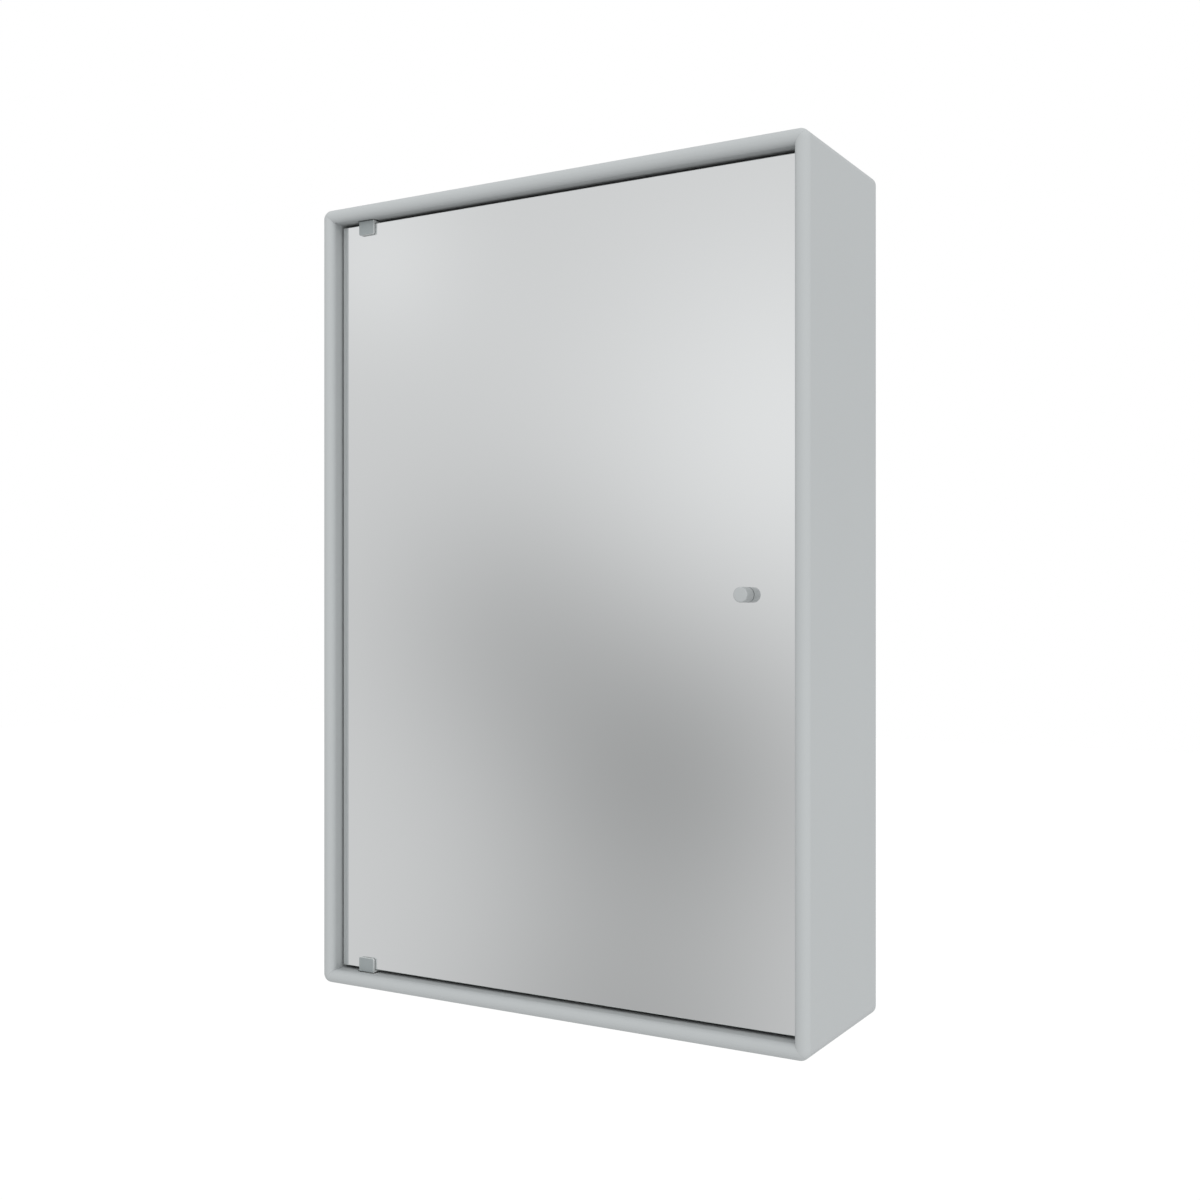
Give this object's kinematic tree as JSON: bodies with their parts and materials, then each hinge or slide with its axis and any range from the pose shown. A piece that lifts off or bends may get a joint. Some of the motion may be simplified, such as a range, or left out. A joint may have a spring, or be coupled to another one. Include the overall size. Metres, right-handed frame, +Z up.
{
  "type": "mirror cabinet",
  "caption": "Shallow wall cabinet with mitred, round-fronted boards, a recessed mirror door on pivot clips, a round knob and glass shelves inside.",
  "frame": {"origin": "midway between the two screw holes of the wall rail, on the wall's surface", "axes": "+Z up, +Y into the wall, +X to the right as seen from the front"},
  "size_m": [0.468, 0.15, 0.696],
  "materials": {
    "board_lacquer": "satin",
    "back_lacquer": "satin",
    "tongue_wood": "matt",
    "mirror": "polished",
    "safety_sheet": "matt",
    "clip_metal": "satin",
    "soft_liner": "matt",
    "steel": "satin",
    "bush_plastic": "matt",
    "knob_lacquer": "satin",
    "catch_plastic": "matt",
    "magnet": "matt",
    "shelf_glass": "polished",
    "zinc_steel": "satin",
    "pad_rubber": "matt"
  },
  "bodies": {
    "cabinet": {"top_board": "board_lacquer", "bottom_board": "board_lacquer", "left_board": "board_lacquer", "right_board": "board_lacquer", "corner_splines": "tongue_wood", "back_panel": "back_lacquer", "hanging_rail": "zinc_steel", "rail_bolts": "steel", "rail_nuts": "steel", "wall_rail": "zinc_steel", "wall_pads": "pad_rubber", "shelf_1": "shelf_glass", "shelf_2": "shelf_glass", "shelf_1_pins": "steel", "shelf_2_pins": "steel", "pivot_bush_top": "bush_plastic", "pivot_bush_bottom": "bush_plastic", "catch_housing": "catch_plastic", "catch_magnet": "magnet", "catch_pole_plates": "steel", "catch_screws": "steel"},
    "door": {"mirror_glass": "mirror", "mirror_backing": "safety_sheet", "hinge_clip_top": "clip_metal", "hinge_clip_bottom": "clip_metal", "pivot_pin_top": "steel", "pivot_pin_bottom": "steel", "clip_liners": "soft_liner", "clip_grub_screws": "steel", "knob": "knob_lacquer", "knob_washer_front": "soft_liner", "knob_washer_rear": "steel", "knob_screw": "steel", "strike_plate": "steel"}
  },
  "joints": [
    {"name": "door_hinge", "type": "hinge", "parent": "cabinet", "child": "door", "pos_m": [-0.1914, -0.134, 0], "axis": [0, 0, -1], "range_deg": [0, 110]}
  ]
}
